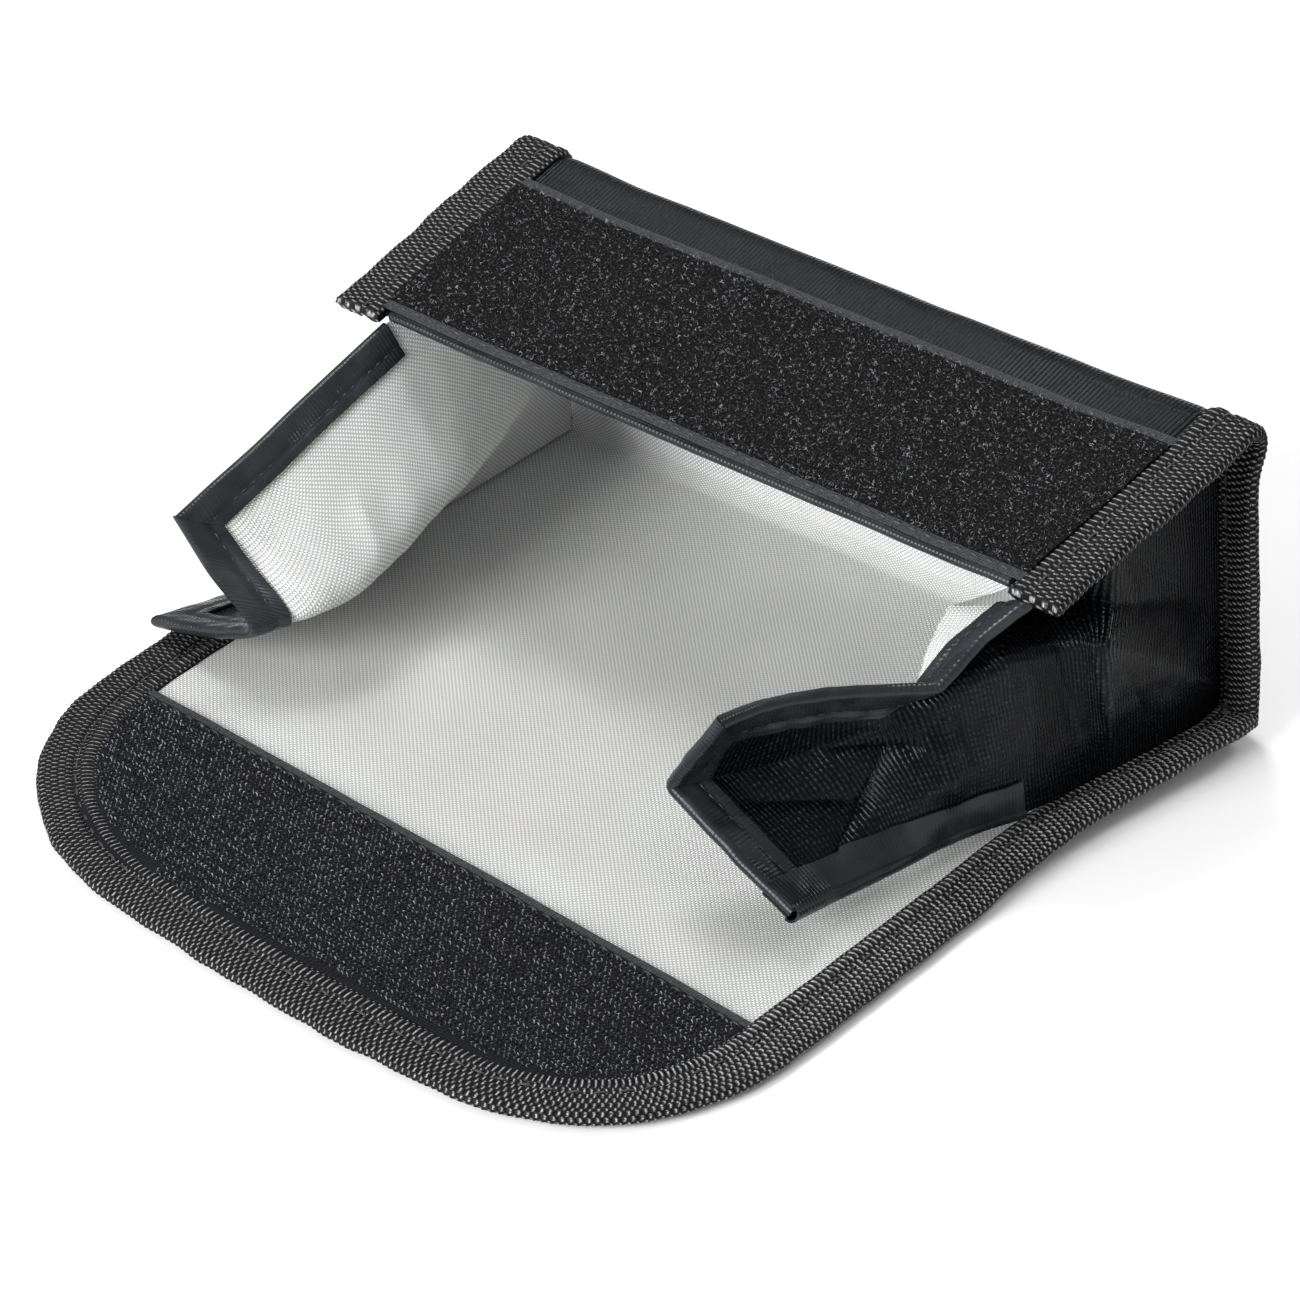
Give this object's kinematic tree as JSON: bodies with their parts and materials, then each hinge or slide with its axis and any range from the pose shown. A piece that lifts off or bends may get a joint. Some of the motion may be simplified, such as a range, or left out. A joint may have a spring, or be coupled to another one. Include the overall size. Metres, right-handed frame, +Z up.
{
  "type": "lipo safe bag",
  "caption": "Fire-safe box pouch for lithium packs, with silver lining, folded gussets, webbing edges and a hook-and-loop flap laid open.",
  "frame": {"origin": "middle of the back panel's underside, on the surface the bag lies on", "axes": "+X along the bag's long side, +Y towards the bag's base and away from the mouth, +Z up through the front panel"},
  "size_m": [0.1857, 0.1888, 0.0697],
  "materials": {
    "coated_cloth": "black coated glass-fibre cloth, glossy",
    "silver_lining": "silver-white woven glass-fibre lining with a satin sheen",
    "webbing_tape": "coarse ribbed black webbing, matt",
    "loop_pile": "black looped pile, matt with grey flecks",
    "hook_tape": "black woven tape with rows of small hooks",
    "sewing_thread": "black sewing thread"
  },
  "bodies": {
    "bag_body": {"back_panel_cloth": "coated_cloth", "back_panel_lining": "silver_lining", "base_panel_cloth": "coated_cloth", "base_panel_lining": "silver_lining", "front_panel_cloth": "coated_cloth", "front_panel_lining": "silver_lining", "front_mouth_hem": "coated_cloth", "loop_strip": "loop_pile", "loop_strip_stitching": "sewing_thread", "left_body_binding": "webbing_tape", "left_body_stitching": "sewing_thread", "left_gusset_cloth": "coated_cloth", "left_gusset_lining": "silver_lining", "right_body_binding": "webbing_tape", "right_body_stitching": "sewing_thread", "right_gusset_cloth": "coated_cloth", "right_gusset_lining": "silver_lining"},
    "flap_cover": {"cover_cloth": "coated_cloth", "cover_lining": "silver_lining", "left_cover_binding": "webbing_tape", "right_cover_binding": "webbing_tape", "left_cover_stitching": "sewing_thread", "right_cover_stitching": "sewing_thread"},
    "flap_tongue": {"tongue_cloth": "coated_cloth", "tongue_lining": "silver_lining", "tongue_binding": "webbing_tape", "tongue_stitching": "sewing_thread", "hook_strip": "hook_tape", "hook_strip_stitching": "sewing_thread"},
    "left_ear": {"left_ear_cloth": "coated_cloth", "left_ear_lining": "silver_lining", "left_ear_hem": "coated_cloth"},
    "right_ear": {"right_ear_cloth": "coated_cloth", "right_ear_lining": "silver_lining", "right_ear_hem": "coated_cloth"}
  },
  "joints": [
    {"name": "cover_fold", "type": "hinge", "parent": "bag_body", "child": "flap_cover", "pos_m": [0, -0.03, 0.0032], "axis": [-1, 0, 0], "range_deg": [0, 90], "deforming": ["left_ear_cloth", "left_ear_lining", "left_ear_hem", "right_ear_cloth", "right_ear_lining", "right_ear_hem"]},
    {"name": "tongue_fold", "type": "hinge", "parent": "flap_cover", "child": "flap_tongue", "pos_m": [0, -0.0846, 0.0032], "axis": [-1, 0, 0], "range_deg": [0, 76.2]},
    {"name": "left_ear_fold", "type": "hinge", "parent": "bag_body", "child": "left_ear", "pos_m": [-0.0815, -0.0303, 0.028], "axis": [0, 0, 1], "range_deg": [0, 62]},
    {"name": "right_ear_fold", "type": "hinge", "parent": "bag_body", "child": "right_ear", "pos_m": [0.0815, -0.0303, 0.028], "axis": [0, 0, -1], "range_deg": [0, 62]}
  ]
}
